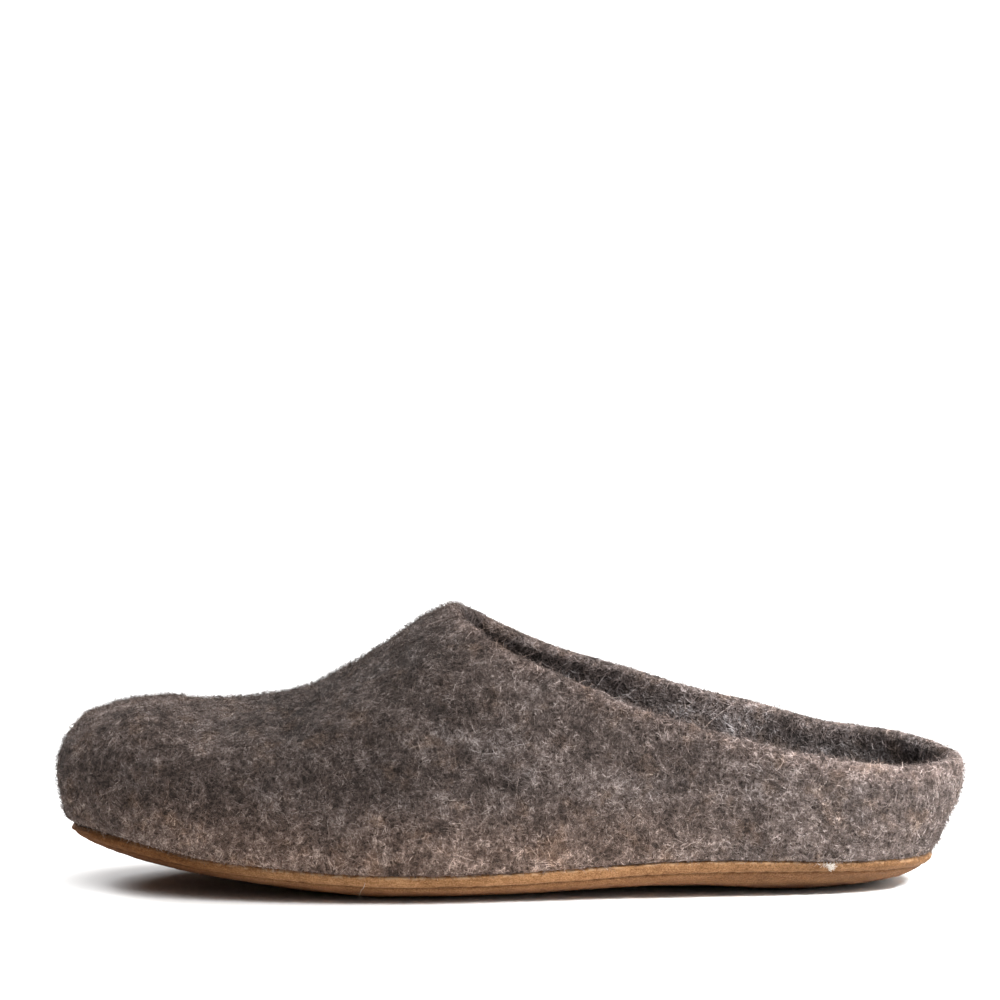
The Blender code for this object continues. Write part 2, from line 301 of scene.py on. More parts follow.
def last_point(along, across, over):
    """Point of the last's surface. Its plan is a unit disc, with along from -1 at the toe to 1 at the heel
    and across negative on the outer side, and each section is a curve of the form a^n + b^n = 1."""
    turn = np.arccos(np.clip(-along, -1, 1))
    reach = np.sqrt(np.clip(1 - along**2, 0, 1))
    share = np.divide(across, reach, out=np.zeros_like(across), where=reach > TINY)
    share = np.clip(share, -1, 1)
    half_width = np.where(across < 0, LAST["outer"](turn), LAST["inner"](turn))
    widest = LAST["widest"](turn)
    square = np.where(over, LAST["square_over"](turn), LAST["square_under"](turn))
    rise = np.where(over, LAST["top"](turn), LAST["under"](turn)) - widest
    bow = (1 - np.abs(share) ** square) ** (1 / square)
    x = along * LENGTH / 2
    y = LAST["axis"](turn) + half_width * share
    return np.stack([x, y, widest + rise * bow], axis=-1)


def collar_curves():
    """Splines of the collar's height on the outer and the inner side, over the share of the length."""
    throat_height = float(LAST["top"](turn_at(THROAT / 100)))
    places = [THROAT / 100] + [row.place / 100 for row in COLLAR]
    outer = [throat_height] + [row.outer / 100 * INSTEP_HEIGHT for row in COLLAR]
    inner = [throat_height] + [row.inner / 100 * INSTEP_HEIGHT for row in COLLAR]
    return curve_through(places, outer), curve_through(places, inner)


def heel_back(collar_height):
    """Share of the length where the ridge of the last comes down to the collar, found by halving."""
    low, high = COLLAR[-2].place / 100, 1.0
    for _ in range(HALVINGS):
        middle = (low + high) / 2
        if LAST["top"](turn_at(middle)) > collar_height(middle):
            low = middle
        else:
            high = middle
    return low


def collar_line(turns):
    """Plan of the collar on the unit disc, a point for each column: columns from the heel go straight up, and
    those from the toe half fan in to the throat."""
    outer_height, inner_height = collar_curves()
    back = heel_back(outer_height)
    throat = THROAT / 100
    from_heel = (1 + np.cos(turns)) / 2
    spread = 1 / (back - throat)
    place = back - (back - throat) * (spread * from_heel - (spread - 1) * from_heel**2)
    on_outer_side = np.sin(turns) >= 0
    height = np.where(on_outer_side, outer_height(place), inner_height(place))
    turn = turn_at(place)
    widest = LAST["widest"](turn)
    square = LAST["square_over"](turn)
    lift = np.clip((height - widest) / (LAST["top"](turn) - widest), 0, 1)
    share = (1 - lift**square) ** (1 / square)
    along = 2 * place - 1
    across = share * np.sqrt(1 - along**2) * np.where(on_outer_side, -1, 1)
    return along, across


class Form:
    """The felt's outer surface as columns that run from beside the keel line under the foot, out to the
    widest line and up to the collar. Positions on a column are lengths along it from its start."""

    def __init__(self):
        turns = np.arange(AROUND) * 2 * math.pi / AROUND
        rim_along, rim_across = -np.cos(turns), -np.sin(turns)
        collar_along, collar_across = collar_line(turns)
        fine = (np.linspace(0, 1, PATH_SAMPLES) ** 2)[:, None]
        out = 1 - (1 - KEEL_STRIP) * fine[::-1]
        keel_along = KEEL * rim_along
        below = last_point(keel_along + (rim_along - keel_along) * out, rim_across * out, False)
        above = last_point(
            rim_along + (collar_along - rim_along) * fine,
            rim_across + (collar_across - rim_across) * fine,
            True,
        )
        self.points = np.concatenate([below, above[1:]])
        self.normals = grid_normals(self.points, False)
        steps = np.linalg.norm(np.diff(self.points, axis=0), axis=2)
        self.lengths = np.concatenate([np.zeros((1, AROUND)), np.cumsum(steps, axis=0)])
        self.collar = self.lengths[-1]
        above_edge = below[..., 2] - LAST["edge"](turn_at(below[..., 0] / LENGTH + 0.5))
        columns = np.arange(AROUND)
        after = np.argmax(above_edge > 0, axis=0)
        before = after - 1
        low, high = above_edge[before, columns], above_edge[after, columns]
        share = -low / (high - low)
        self.edge = self.lengths[before, columns] * (1 - share) + self.lengths[after, columns] * share
        edge_x = self.at(self.edge[None, :])[0, :, 0]
        self.tip = 1 - smoothstep(-LENGTH / 2, -LENGTH / 2 + TOE_TIP, edge_x)
        self.leather_edge = self.edge - TOE_DROP * self.tip

    def at(self, positions, offset=0.0):
        """Points at the given positions, a row for each ring and a column for each column of the form, moved
        out of the felt's surface by offset. The columns are laid end to end, so that one interpolation does
        them all."""
        apart = np.arange(AROUND) * (self.lengths.max() + 1)
        places = (self.lengths + apart).T.ravel()
        positions = np.broadcast_to(positions, (len(positions), AROUND))

        def read(values):
            axes = [np.interp(positions + apart, places, values[..., k].T.ravel()) for k in range(3)]
            return np.stack(axes, axis=-1)

        offset = np.broadcast_to(offset, positions.shape)[..., None]
        return read(self.points) + read(self.normals) * offset

    def collar_rim(self, angles):
        """Rings on the round rim, half a circle as wide as the wall from the outer face to the inner."""
        normal = self.normals[-1]
        upward = unit(self.points[-1] - self.points[-2])
        for _ in range(RIM_EVENINGS):
            upward = unit(np.roll(upward, 1, axis=0) + 2 * upward + np.roll(upward, -1, axis=0))
        middle = self.points[-1] - normal * FELT / 2
        angles = np.asarray(angles)[:, None, None]
        return middle + FELT / 2 * (normal * np.cos(angles) + upward * np.sin(angles))


def between(start, end, count):
    """Rings of positions from start to end in equal steps, with both ends, one row for each ring."""
    share = np.linspace(0, 1, count)[:, None]
    return start + (end - start) * share


def half_turn(count):
    """Angles between 0 and pi in equal steps, without both ends."""
    return np.linspace(0, math.pi, count + 2)[1:-1]


def grid_normals(points, closed):
    """Unit normals of a grid of rings: the step round the ring crossed with the step to the next ring."""
    round_ring = np.roll(points, -1, axis=1) - np.roll(points, 1, axis=1)
    if closed:
        onwards = np.roll(points, -1, axis=0) - np.roll(points, 1, axis=0)
    else:
        onwards = np.gradient(points, axis=0)
    return unit(np.cross(round_ring, onwards))


def crease_relief(points):
    """Sum of the creases: each one's depth, fading with the distance to its line."""
    total = np.zeros(points.shape[:-1])
    for crease in CREASES:
        start = np.array(crease.start) * MM
        run = np.array(crease.end) * MM - start
        share = np.clip((points - start) @ run / (run @ run), 0, 1)
        distance = np.linalg.norm(points - start - share[..., None] * run, axis=-1)
        total += crease.depth * MM * fade(distance, crease.width * MM)
    return total


class Skin:
    """A grid of rings that a piece's mesh and its fibres share, with its normals and its named fields."""

    def __init__(self, points, closed, flip=False, **fields):
        self.points = points
        self.closed = closed
        self.flip = flip
        self.normals = grid_normals(points, closed) * (-1 if flip else 1)
        self.fields = fields
        self.rings, self.columns = points.shape[:2]

    def faces(self):
        """Quads between neighbouring rings, and where the rings aren't a closed loop the strips that zip the
        first and the last ring across the keel line, with their places on the bake map."""
        rings, columns = self.rings, self.columns
        ring = np.arange(rings if self.closed else rings - 1)[:, None, None] + np.array([0, 0, 1, 1])
        column = np.arange(columns)[None, :, None] + np.array([0, 1, 1, 0])
        ring, column = np.broadcast_arrays(ring, column)
        quads = (ring % rings) * columns + column % columns
        places = np.stack([column / columns, ring / rings * MAP_GRID], axis=-1)
        quads, places = quads.reshape(-1, 4), places.reshape(-1, 4, 2)
        if self.flip:
            quads, places = quads[:, ::-1], places[:, ::-1]
        polygons, maps = [quads], [places]
        if not self.closed:
            ends = zip((0, (rings - 1) * columns), MAP_STRIPS, (self.flip, not self.flip))
            for first, height, upward in ends:
                for strip, place in zip_strips(columns, height):
                    polygons.append(first + (strip if upward else strip[:, ::-1]))
                    maps.append(place if upward else place[:, ::-1])
        return polygons, maps

    def steps(self):
        """Steps from each point of the grid to the next column and to the next ring."""
        around = np.roll(self.points, -1, axis=1) - self.points
        onwards = np.roll(self.points, -1, axis=0) - self.points
        return around, onwards

    def weights(self, density):
        """Cumulative chance of each cell, its area times the given density, for spreading fibres evenly."""
        area = np.linalg.norm(np.cross(*self.steps()), axis=-1)
        if not self.closed:
            area[-1] = 0
        chance = np.cumsum((area * density).ravel())
        return chance / chance[-1]

    def read(self, values, ring, column):
        """Values of the grid at fractional rings and columns, straight between the four nearest points."""
        ring = np.mod(ring, self.rings) if self.closed else np.clip(ring, 0, self.rings - 1.001)
        column = np.mod(column, self.columns)
        low_ring = np.floor(ring).astype(int) % self.rings
        low_column = np.floor(column).astype(int) % self.columns
        high_ring, high_column = (low_ring + 1) % self.rings, (low_column + 1) % self.columns
        up, across = ring - np.floor(ring), column - np.floor(column)
        if values.ndim == 3:
            up, across = up[..., None], across[..., None]
        low = values[low_ring, low_column] * (1 - across) + values[low_ring, high_column] * across
        high = values[high_ring, low_column] * (1 - across) + values[high_ring, high_column] * across
        return low * (1 - up) + high * up


def zip_strips(columns, height):
    """Faces across the keel line, from column i to the column opposite it, with triangles at both ends, and
    their places on the bake map from the given height."""
    half = columns // 2
    i = np.arange(1, half - 1)
    quads = np.stack([i, i + 1, columns - i - 1, columns - i], axis=-1)
    ends = np.array([[0, 1, columns - 1], [half - 1, half, half + 1]])
    step, top = 1 / half, height + MAP_STRIP_HEIGHT
    left, right = i / half, (i + 1) / half
    low, high = np.full(len(i), height), np.full(len(i), top)
    quad_places = np.stack([left, low, right, low, right, high, left, high], axis=-1).reshape(-1, 4, 2)
    end_places = np.array(
        [[[0, height], [step, height], [step, top]], [[1 - step, height], [1, height], [1 - step, top]]]
    )
    return (quads, quad_places), (ends, end_places)


def add_object(name, data):
    """Puts a mesh, lamp or camera into the scene."""
    added = bpy.data.objects.new(name, data)
    bpy.context.scene.collection.objects.link(added)
    return added


def make_piece(name, points, polygons, maps, fields, finish, stands_for=None):
    """Puts arrays of points, polygons, bake map places and point fields into a mesh that rides on the
    shoe."""
    mesh = bpy.data.meshes.new(name)
    points = np.asarray(points, np.float32).reshape(-1, 3)
    corners = np.concatenate([part.ravel() for part in polygons]).astype(np.int32)
    sizes = np.concatenate([np.full(len(part), part.shape[1]) for part in polygons])
    mesh.vertices.add(len(points))
    mesh.vertices.foreach_set("co", points.ravel())
    mesh.loops.add(len(corners))
    mesh.loops.foreach_set("vertex_index", corners)
    mesh.polygons.add(len(sizes))
    starts = np.concatenate([[0], np.cumsum(sizes)[:-1]]).astype(np.int32)
    mesh.polygons.foreach_set("loop_start", starts)
    mesh.update(calc_edges=True)
    places = np.concatenate([part.reshape(-1, 2) for part in maps]).astype(np.float32)
    mesh.uv_layers.new(name="OFBake").data.foreach_set("uv", places.ravel())
    for field, values in fields.items():
        attribute = mesh.attributes.new(field, "FLOAT", "POINT")
        attribute.data.foreach_set("value", np.asarray(values, np.float32).ravel())
    mesh.shade_smooth()
    mesh.materials.append(finish)
    piece = add_object(name, mesh)
    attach(piece, "root")
    if stands_for:
        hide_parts(stands_for)


def make_from_skin(name, skin, finish, stands_for):
    """A piece that is a skin's own surface and stands for one of the part's solids."""
    polygons, maps = skin.faces()
    make_piece(name, skin.points, polygons, maps, skin.fields, finish, stands_for)


def felt_zones(points, over_edge, inner):
    """Shares of the felt's tints, each a product of smooth steps along the foot, up it and through the
    wall."""
    x, z = points[..., 0], points[..., 2]
    # Painted bounce light from the floor, over the leather
    low = 1 - smoothstep(0, WARM_BAND_HEIGHT, over_edge)
    low *= 1 - WARM_BAND_HEEL_LOSS * smoothstep(*WARM_BAND_HEEL, x)
    low *= 0.5 + 0.5 * smoothstep(*WARM_BAND_TOE, x)
    # Painted light on the toe's top
    toe_top = (1 - smoothstep(*TOE_TOP_END, x)) * smoothstep(*TOE_TOP_HEIGHT, z)
    # Painted shade on the vamp and on the toe's front
    vamp = smoothstep(*VAMP_START, x) * (1 - smoothstep(*VAMP_END, x))
    vamp *= smoothstep(*VAMP_HEIGHT, z) * (1 - inner)
    toe_front = (1 - smoothstep(*TOE_FRONT_END, x)) * (1 - smoothstep(*TOE_FRONT_HEIGHT, z))
    vamp = np.maximum(vamp, TOE_FRONT_SHARE * toe_front)
    # Painted shade on the inside wall at the throat and at the heel
    dim = 1 - smoothstep(*DIM_ROOM_END, x) + smoothstep(*DIM_HEEL_START, x)
    throat = smoothstep(0.5, 1.0, inner) * dim
    return {"low": low, "inside": inner, "vamp": vamp, "throat": throat, "toe_top": toe_top}


def upper_skin(form):
    """The felt upper as a closed loop of rings: the turned-in margin, the outer wall, the round rim and the
    inner wall. Along the normals it gets broad and small lumps of felting and the creases, which
    die away where the leather and the insole lie against it, and it swells over the leather's edge."""
    margin = between(form.edge - MARGIN, form.edge, MARGIN_RINGS)
    share = (np.linspace(0, 1, WALL_RINGS) ** WALL_SPREAD)[1:, None]
    wall = form.edge + (form.collar - form.edge) * share
    outside = np.concatenate([margin, wall])
    inside = between(form.collar, form.edge - MARGIN, INSIDE_RINGS)
    rim_rings = form.collar_rim(half_turn(RIM_RINGS))
    smooth = np.concatenate([form.at(outside), rim_rings, form.at(inside, -FELT)])
    rim_height = np.broadcast_to(form.collar, (RIM_RINGS, AROUND))
    over_edge = np.concatenate([outside, rim_height, inside]) - form.edge
    ring = np.arange(len(smooth))[:, None] + np.zeros(AROUND)
    rim_end = len(outside) + RIM_RINGS
    inner = smoothstep(len(outside), rim_end, ring)
    free = np.where(
        ring < rim_end, smoothstep(*FREE_OVER_LEATHER, over_edge), smoothstep(*FREE_OVER_INSOLE, over_edge)
    )
    rim = smoothstep(-RIM_HEIGHT, 0, over_edge - form.collar + form.edge)
    relief = lumpy(smooth, UPPER_LUMPS) * (1 - RIM_CALM * rim)
    relief += crease_relief(smooth) * (1 - inner)
    swell_x, swell_share = np.array(SWELL_SHARES).T
    swell = SWELL * np.interp(smooth[..., 0] / MM, swell_x, swell_share)
    swell *= np.exp(-over_edge / SWELL_HEIGHT) * smoothstep(*SWELL_START, over_edge) * (1 - inner)
    points = smooth + grid_normals(smooth, True) * (relief * free + swell)[..., None]
    return Skin(points, True, rim=rim, **felt_zones(smooth, over_edge, inner))


def insole_skin(form):
    """The felt insole: the underside and the plug between the turned-in margins, the lip against the wall,
    and the top with its lumps, trodden down a little under the heel and the ball of the foot."""
    keel = np.zeros(AROUND)
    plug = form.edge - MARGIN - GAP
    on_margin = -FELT - GAP
    under = form.at(between(keel, plug, HIDDEN_RINGS))
    lip = form.at(between(plug, form.edge + INSOLE_REACH, HIDDEN_RINGS), on_margin)
    bed_edge = form.edge - INSOLE_TOE_ROUND * form.tip
    bed = form.at(between(bed_edge, keel, BED_RINGS), on_margin - INSOLE_LIP)
    relief = lumpy(bed, INSOLE_LUMPS)
    for hollow in HOLLOWS:
        along = fade(bed[..., 0] - hollow.x, hollow.along)
        relief -= hollow.depth * along * fade(bed[..., 1], hollow.across)
    bed[..., 2] += smoothstep(0, BED_BORDER, np.linspace(0, 1, BED_RINGS))[:, None] * relief
    points = np.concatenate([under, lip, bed])
    none = np.zeros(points.shape[:2])
    return Skin(points, False, low=none, inside=none + 1, rim=none, vamp=none, throat=none, toe_top=none)


def seam_run(form):
    """Length along the seam at each column, from the toe round by the outer side, its whole length, and the
    number of stitches in it."""
    line = form.at((form.leather_edge - SEAM)[None, :], GAP + LEATHER)[0]
    steps = np.linalg.norm(np.roll(line, -1, axis=0) - line, axis=1)
    whole = steps.sum()
    return np.concatenate([[0], np.cumsum(steps)[:-1]]), whole, round(whole / STITCH)


def sole_skin(form):
    """The leather sole: the face against the felt, the cut edge, and the outer face with its sewn groove. The
    groove fades with the distance from the seam, deeper where a stitch goes in, and the strip above it is
    drawn into low pillows. Where the underside would reach below the floor it is pressed flat."""
    along, whole, stitches = seam_run(form)
    pinch = np.cos(math.pi * along / whole * stitches) ** PINCH_SHARPNESS
    ragged = lumpy(form.at(form.leather_edge[None, :])[0], RAGGED_EDGE)
    edge = form.leather_edge + ragged
    inner_face = form.at(between(np.zeros(AROUND), edge - EDGE_TUCK, 2 * HIDDEN_RINGS), GAP)
    turn = half_turn(LEATHER_EDGE_RINGS)[:, None]
    across_edge = (LEATHER - EDGE_WEAR) * (0.5 - 0.5 * np.cos(turn))
    cut = form.at(edge + EDGE_ROUND * np.sin(turn), GAP + across_edge)
    side = between(np.full(AROUND, SIDE_TOP), np.full(AROUND, SIDE_BOTTOM), LEATHER_SIDE_RINGS)
    under = between(side[-1], form.leather_edge, LEATHER_UNDER_RINGS)[1:]
    below_edge = np.concatenate([side, under])
    groove = fade(below_edge - SEAM, GROOVE_REACH)
    pillow = np.sin(np.clip(below_edge / SEAM, 0, 1) * math.pi) * (1 - 0.6 * pinch)
    relief = PILLOW * pillow - GROOVE_DEPTH * groove * (0.45 + 0.55 * pinch)
    relief -= EDGE_WEAR * fade(below_edge, EDGE_WEAR_REACH)
    relief -= TOE_WEAR * form.tip * fade(below_edge, TOE_WEAR_REACH)
    fraying = ragged * fade(below_edge, FRAY_REACH)
    face = form.at(form.leather_edge + fraying - below_edge, GAP + LEATHER + relief)
    face -= grid_normals(face, False) * lumpy(face, LEATHER_LUMPS)[..., None]
    face[..., 2] = np.maximum(face[..., 2], 0)
    points = np.concatenate([inner_face, cut, face])
    distance = np.zeros(points.shape[:2])
    distance[-len(face) :] = below_edge
    # Painted shade in the groove, darkest where a stitch goes into its hole
    hole = np.zeros(points.shape[:2])
    hole[-len(face) :] = groove * (0.55 + 0.45 * pinch)
    return Skin(points, False, flip=True, below_edge=distance / MM, hole=hole)


def seam_thread(form, finish):
    """The seam's thread: for each stitch a tube of round section carried along the groove, thin and sunk
    where it goes into its holes."""
    along, whole, stitches = seam_run(form)
    rings, sides = STITCH_RINGS, STITCH_SIDES
    share = np.linspace(-0.5, 0.5, rings)
    stitch = np.arange(stitches)
    place = (stitch[:, None] + 0.5 + STITCH_COVER * share) / stitches * whole

    def on_seam(values):
        """The columns' values along the seam, read at the stitches' places."""
        closed = np.concatenate([values, values[:1]])
        axes = [np.interp(place, np.append(along, whole), closed[:, k]) for k in range(3)]
        return np.stack(axes, axis=-1)

    seam = (form.leather_edge - SEAM)[None, :]
    outward = unit(form.at(seam, 1.0) - form.at(seam))
    normal = unit(on_seam(outward[0]))
    bow = 1 - (2 * share) ** 4
    centre = on_seam(form.at(seam, GAP + LEATHER - THREAD_SINK)[0])
    centre = centre + normal * ((bow - 1) * THREAD_DIP)[:, None]
    across = np.cross(unit(np.gradient(centre, axis=1)), normal)
    angle = np.arange(sides) * 2 * math.pi / sides
    radius = (THREAD_RADIUS * (0.35 + 0.65 * bow))[None, :, None, None]
    circle = normal[:, :, None] * np.cos(angle)[:, None] + across[:, :, None] * np.sin(angle)[:, None]
    points = centre[:, :, None] + radius * circle
    first = stitch[:, None] * rings * sides
    start = first[..., None] + np.arange(rings - 1)[:, None] * sides
    corner = start + np.arange(sides)
    following = start + (np.arange(sides) + 1) % sides
    quads = np.stack([corner, corner + sides, following + sides, following], axis=-1).reshape(-1, 4)
    start_caps = first + np.arange(sides)
    end_caps = start_caps[:, ::-1] + (rings - 1) * sides
    map_across = (stitch[:, None, None] + 0.5 + 0.8 * share[:, None]) / stitches
    map_places = np.stack(np.broadcast_arrays(map_across, angle / 7 + 0.02), axis=-1).reshape(-1, 2)
    polygons = [quads, start_caps, end_caps]
    maps = [map_places[part] for part in polygons]
    make_piece("seam_thread", points, polygons, maps, {}, finish)


def ribbons(name, centre, side, fields, finish):
    """Fibres as narrow ribbons, joined in one mesh: a point at each tip, and between them pairs of points
    half a width either side of the centre line, none below the floor. Each ribbon has its own cell on the
    bake map."""
    count, stations = centre.shape[:2]
    per_fibre = 2 * stations - 2
    points = np.empty((count, per_fibre, 3))
    points[:, 0] = centre[:, 0]
    points[:, 1:-1:2] = centre[:, 1:-1] - side[:, 1:-1]
    points[:, 2:-1:2] = centre[:, 1:-1] + side[:, 1:-1]
    points[:, -1] = centre[:, -1]
    points[..., 2] = np.maximum(points[..., 2], 0)
    first = np.arange(count)[:, None] * per_fibre
    start = first + np.array([0, 1, 2])
    end = first + np.array([per_fibre - 3, per_fibre - 1, per_fibre - 2])
    middle = 1 + 2 * np.arange(stations - 3)[:, None] + np.array([0, 2, 3, 1])
    quads = (first[..., None] + middle).reshape(-1, 4)
    across = np.full(per_fibre, 0.5)
    across[1:-1:2], across[2:-1:2] = RIBBON_MAP_SIDES
    onwards = np.repeat(np.linspace(*RIBBON_MAP_ENDS, stations), 2)[1:-1]
    cells = math.ceil(math.sqrt(count))
    fibre = np.arange(count)[:, None]
    places = np.stack([(fibre % cells + onwards) / cells, (fibre // cells + across) / cells], axis=-1)
    places = places.reshape(-1, 2)
    polygons = [start, end, quads] if stations > 3 else [start, end]
    maps = [places[part] for part in polygons]
    spread = {field: np.repeat(values, per_fibre) for field, values in fields.items()}
    make_piece(name, points, polygons, maps, spread, finish)


# Lots of fibres. Length, width and the lifts off the felt at a fibre's start, middle and end are ranges in
# millimetres. Curl is the spread of its turn, pale the share of pale fibres, and shade is added to the tone.
Nap = namedtuple("Nap", "count stations length width lift_start lift_middle lift_end curl pale shade seed")
LONG_NAP = Nap(
    count=42000, stations=4, length=(2.2, 6.0), width=(0.10, 0.24),
    lift_start=(-0.1, 0.1), lift_middle=(0.1, 0.45), lift_end=(-0.1, 0.5),
    curl=1.3, pale=0.03, shade=0.0, seed=41,
)
SHORT_NAP = LONG_NAP._replace(count=80000, stations=3, length=(0.9, 2.6), seed=42)
INSIDE_NAP = LONG_NAP._replace(count=20000, seed=43)
INSOLE_NAP = LONG_NAP._replace(count=9000, seed=44)
LOOSE_HAIR = Nap(
    count=4000, stations=8, length=(4.0, 12.0), width=(0.06, 0.12),
    lift_start=(-0.1, 0.1), lift_middle=(0.2, 0.9), lift_end=(0.1, 2.4),
    curl=1.6, pale=0.05, shade=0.0, seed=45,
)
# The fuzz's tone is lowered by 0.12: painted shade, so that the light from behind does not pale it at the
# outline
FUZZ = Nap(
    count=40000, stations=4, length=(1.8, 4.8), width=(0.07, 0.13),
    lift_start=(-0.1, 0.0), lift_middle=(0.3, 1.2), lift_end=(0.6, 3.0),
    curl=1.0, pale=0.03, shade=-0.12, seed=46,
)
EDGE_FRAY = Nap(
    count=5000, stations=3, length=(0.3, 1.1), width=(0.06, 0.14),
    lift_start=(-0.05, 0.05), lift_middle=(0.0, 0.12), lift_end=(0.0, 0.35),
    curl=0.8, pale=0.0, shade=0.0, seed=47,
)
FLECK = Nap(
    count=170, stations=5, length=(0.4, 1.5), width=(0.06, 0.13),
    lift_start=(0.0, 0.1), lift_middle=(0.1, 0.4), lift_end=(0.0, 0.3),
    curl=1.6, pale=0.0, shade=0.0, seed=48,
)
LEAN = 0.6  # spread of the angle by which a ribbon leans out of the felt's plane
SHORTEST_STEP = 0.05 * MM  # of the grid, where its columns close up
INSIDE_NAP_LOWEST = 18 * MM  # the insole hides the wall below
BED_BARE_RINGS = 4  # of the insole's border, without nap
RIM_HAIRS = 2  # how many times more loose hairs the collar's rim has
EDGE_FRAY_REACH = 0.5  # millimetres below the leather's edge

# Tones of the fibres, as a mean and a spread, or a range for the pale ones
DARK_SHARE = 0.42
DARK_TONE = (0.20, 0.10)
LIGHT_TONE = (0.58, 0.14)
PALE_TONE = (0.7, 0.95)

# Tufts of the white fleck, in millimetres along the foot and below the leather's edge, with their reaches
Tuft = namedtuple("Tuft", "x below along down")
FLECK_TUFTS = [Tuft(95.8, 0.05, 1.1, 0.22), Tuft(97.1, 1.1, 0.3, 0.75)]

# Points of the stray hair, in millimetres along the foot, below the leather's edge and off the leather
STRAY_HAIR = [
    (-44.0, 0.6, 0.5), (-44.5, 1.8, 0.6), (-45.2, 3.0, 0.7), (-45.9, 4.2, 0.9),
    (-46.4, 5.3, 1.2), (-46.5, 6.2, 1.7), (-45.8, 6.7, 2.2),
]
STRAY_HAIR_STATIONS = 13
STRAY_HAIR_HALF_WIDTH = 0.045 * MM
STRAY_HAIR_TONE = 0.6


def fibre_lines(skin, density, nap):
    """Centre lines and half widths of fibres that lie on a skin. Each starts at a random place, heads in a
    random direction and turns at a steady random rate, and its height over the felt is a parabola through the
    lifts at its start, middle and end."""
    rng = np.random.default_rng(nap.seed)
    count, stations = nap.count, nap.stations
    cell = np.searchsorted(skin.weights(density), rng.random(count))
    ring = cell // skin.columns + rng.random(count)
    column = cell % skin.columns + rng.random(count)
    length = rng.uniform(*nap.length, count)[:, None] * MM
    heading = rng.uniform(0, 2 * math.pi, count)[:, None]
    curl = rng.normal(0, nap.curl, count)[:, None]
    share = np.linspace(0, 1, stations)
    angles = heading + curl * (share[1:] + share[:-1]) / 2
    step = length / (stations - 1)
    zero = np.zeros((count, 1))
    around = np.concatenate([zero, np.cumsum(np.cos(angles) * step, axis=1)], axis=1)
    onwards = np.concatenate([zero, np.cumsum(np.sin(angles) * step, axis=1)], axis=1)
    column_way, ring_way = (skin.read(way, ring, column) for way in skin.steps())
    column_step = np.maximum(np.linalg.norm(column_way, axis=-1), SHORTEST_STEP)
    first = column_way / column_step[:, None]
    slant = np.sum(ring_way * first, axis=-1)
    ring_step = np.maximum(np.linalg.norm(ring_way - slant[:, None] * first, axis=-1), SHORTEST_STEP)
    onwards /= ring_step[:, None]
    around = (around - onwards * slant[:, None]) / column_step[:, None]
    rings, columns = ring[:, None] + onwards, column[:, None] + around
    surface = skin.read(skin.points, rings, columns)
    normal = unit(skin.read(skin.normals, rings, columns))
    lift_ranges = (nap.lift_start, nap.lift_middle, nap.lift_end)
    start, middle, end = (rng.uniform(*lifts, count)[:, None] * MM for lifts in lift_ranges)
    height = start * (1 - share) * (1 - 2 * share)
    height += middle * 4 * share * (1 - share)
    height += end * share * (2 * share - 1)
    centre = surface + normal * height[..., None]
    forward = unit(np.gradient(centre, axis=1))
    lean = rng.normal(0, LEAN, count)[:, None, None]
    flat = unit(np.cross(normal, forward))
    side = flat * np.cos(lean) + np.cross(forward, flat) * np.sin(lean)
    half_width = rng.uniform(*nap.width, count)[:, None, None] * MM / 2
    fields = {name: skin.read(values, ring, column) for name, values in skin.fields.items()}
    chance = rng.random(count)
    tone = np.where(chance < DARK_SHARE, rng.normal(*DARK_TONE, count), rng.normal(*LIGHT_TONE, count))
    tone = np.where(chance > 1 - nap.pale, rng.uniform(*PALE_TONE, count), tone)
    fields["tone"] = np.clip(tone + nap.shade, 0, 1)
    return centre, side * half_width, fields


def make_nap(name, skin, density, nap, finish):
    """One lot of fibres on a skin, as dense as the given field says."""
    centre, side, fields = fibre_lines(skin, density, nap)
    ribbons(name, centre, side, fields, finish)


def fleck_density(skin):
    """Chance of a fibre of the white fleck: a sum of tufts, each fading along the foot and down the leather,
    on the outer side."""
    x, below = skin.points[..., 0] / MM, skin.fields["below_edge"]
    total = np.zeros(x.shape)
    for tuft in FLECK_TUFTS:
        total += fade(x - tuft.x, tuft.along) * fade(below - tuft.below, tuft.down)
    return total * (skin.points[..., 1] < 0) * (below > 0)


def stray_hair(skin, finish):
    """One long hair that hangs over the leather: a ribbon through listed points on the outer side."""
    x, below, lift = np.array(STRAY_HAIR).T
    outer_side = np.arange(skin.columns // 2)
    depth = skin.fields["below_edge"][:, 0]
    face_start = int(np.argmax(depth > 0))
    edge_x = skin.points[face_start, outer_side, 0] / MM
    column = np.interp(x, edge_x, outer_side)
    ring = np.interp(below, depth[face_start:], np.arange(face_start, skin.rings))
    share = np.linspace(0, 1, STRAY_HAIR_STATIONS)
    place = np.linspace(0, 1, len(x))
    ring, column, lift = (np.interp(share, place, values) for values in (ring, column, lift))
    normal = unit(skin.read(skin.normals, ring, column))
    centre = skin.read(skin.points, ring, column) + normal * lift[:, None] * MM
    side = unit(np.cross(normal, np.gradient(centre, axis=0))) * STRAY_HAIR_HALF_WIDTH
    tone = np.full(1, STRAY_HAIR_TONE)
    ribbons("stray_hair", centre[None], side[None], {"tone": tone}, finish)


class Reading:
    """A value read from a node's socket, on which + - * and abs add Math nodes."""

    def __init__(self, finish, socket):
        self.finish = finish
        self.socket = socket

    def maths(self, operation, first, second=0.0):
        """A Math node on one or two values."""
        return self.finish.node("ShaderNodeMath", {"operation": operation}, {0: first, 1: second})

    def __add__(self, other):
        return self.maths("ADD", self, other)

    def __sub__(self, other):
        return self.maths("SUBTRACT", self, other)

    def __rsub__(self, other):
        return self.maths("SUBTRACT", other, self)

    def __mul__(self, other):
        return self.maths("MULTIPLY", self, other)

    def __abs__(self):
        return self.maths("ABSOLUTE", self)

    def not_below(self, low):
        """The larger of this value and low."""
        return self.maths("MAXIMUM", self, low)

    __radd__ = __add__
    __rmul__ = __mul__


